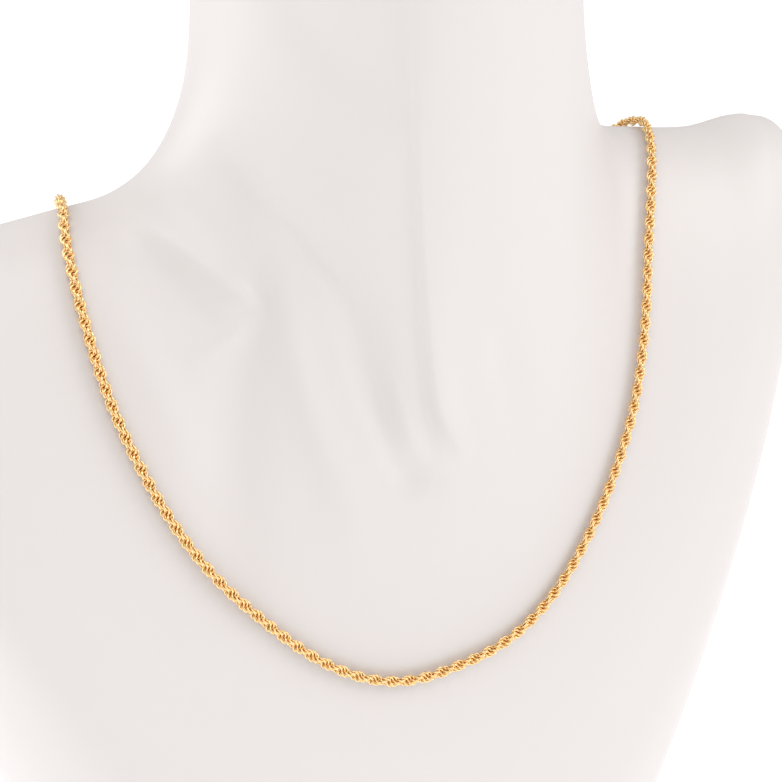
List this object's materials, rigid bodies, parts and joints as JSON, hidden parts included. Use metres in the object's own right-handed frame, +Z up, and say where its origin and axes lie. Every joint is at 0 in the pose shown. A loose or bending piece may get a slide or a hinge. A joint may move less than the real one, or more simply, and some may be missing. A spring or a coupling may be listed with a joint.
{
  "type": "rope chain necklace on a neck bust",
  "caption": "Closed rope chain necklace with a plain barrel clasp, laid round the neck of a free-standing display bust with a flat foot.",
  "frame": {"origin": "middle of the bust's flat foot, on the surface that it stands on", "axes": "+Z up through the neck, -Y towards the front of the bust, +X towards the bust's own left shoulder"},
  "size_m": [0.2478, 0.1356, 0.347],
  "materials": {
    "bust_white": "smooth glossy off-white lacquer",
    "chain_gold": "polished yellow gold",
    "clasp_gold": "polished yellow gold"
  },
  "bodies": {
    "root": {"neck_bust": "bust_white", "rope_chain": "chain_gold", "clasp": "clasp_gold"}
  },
  "joints": []
}
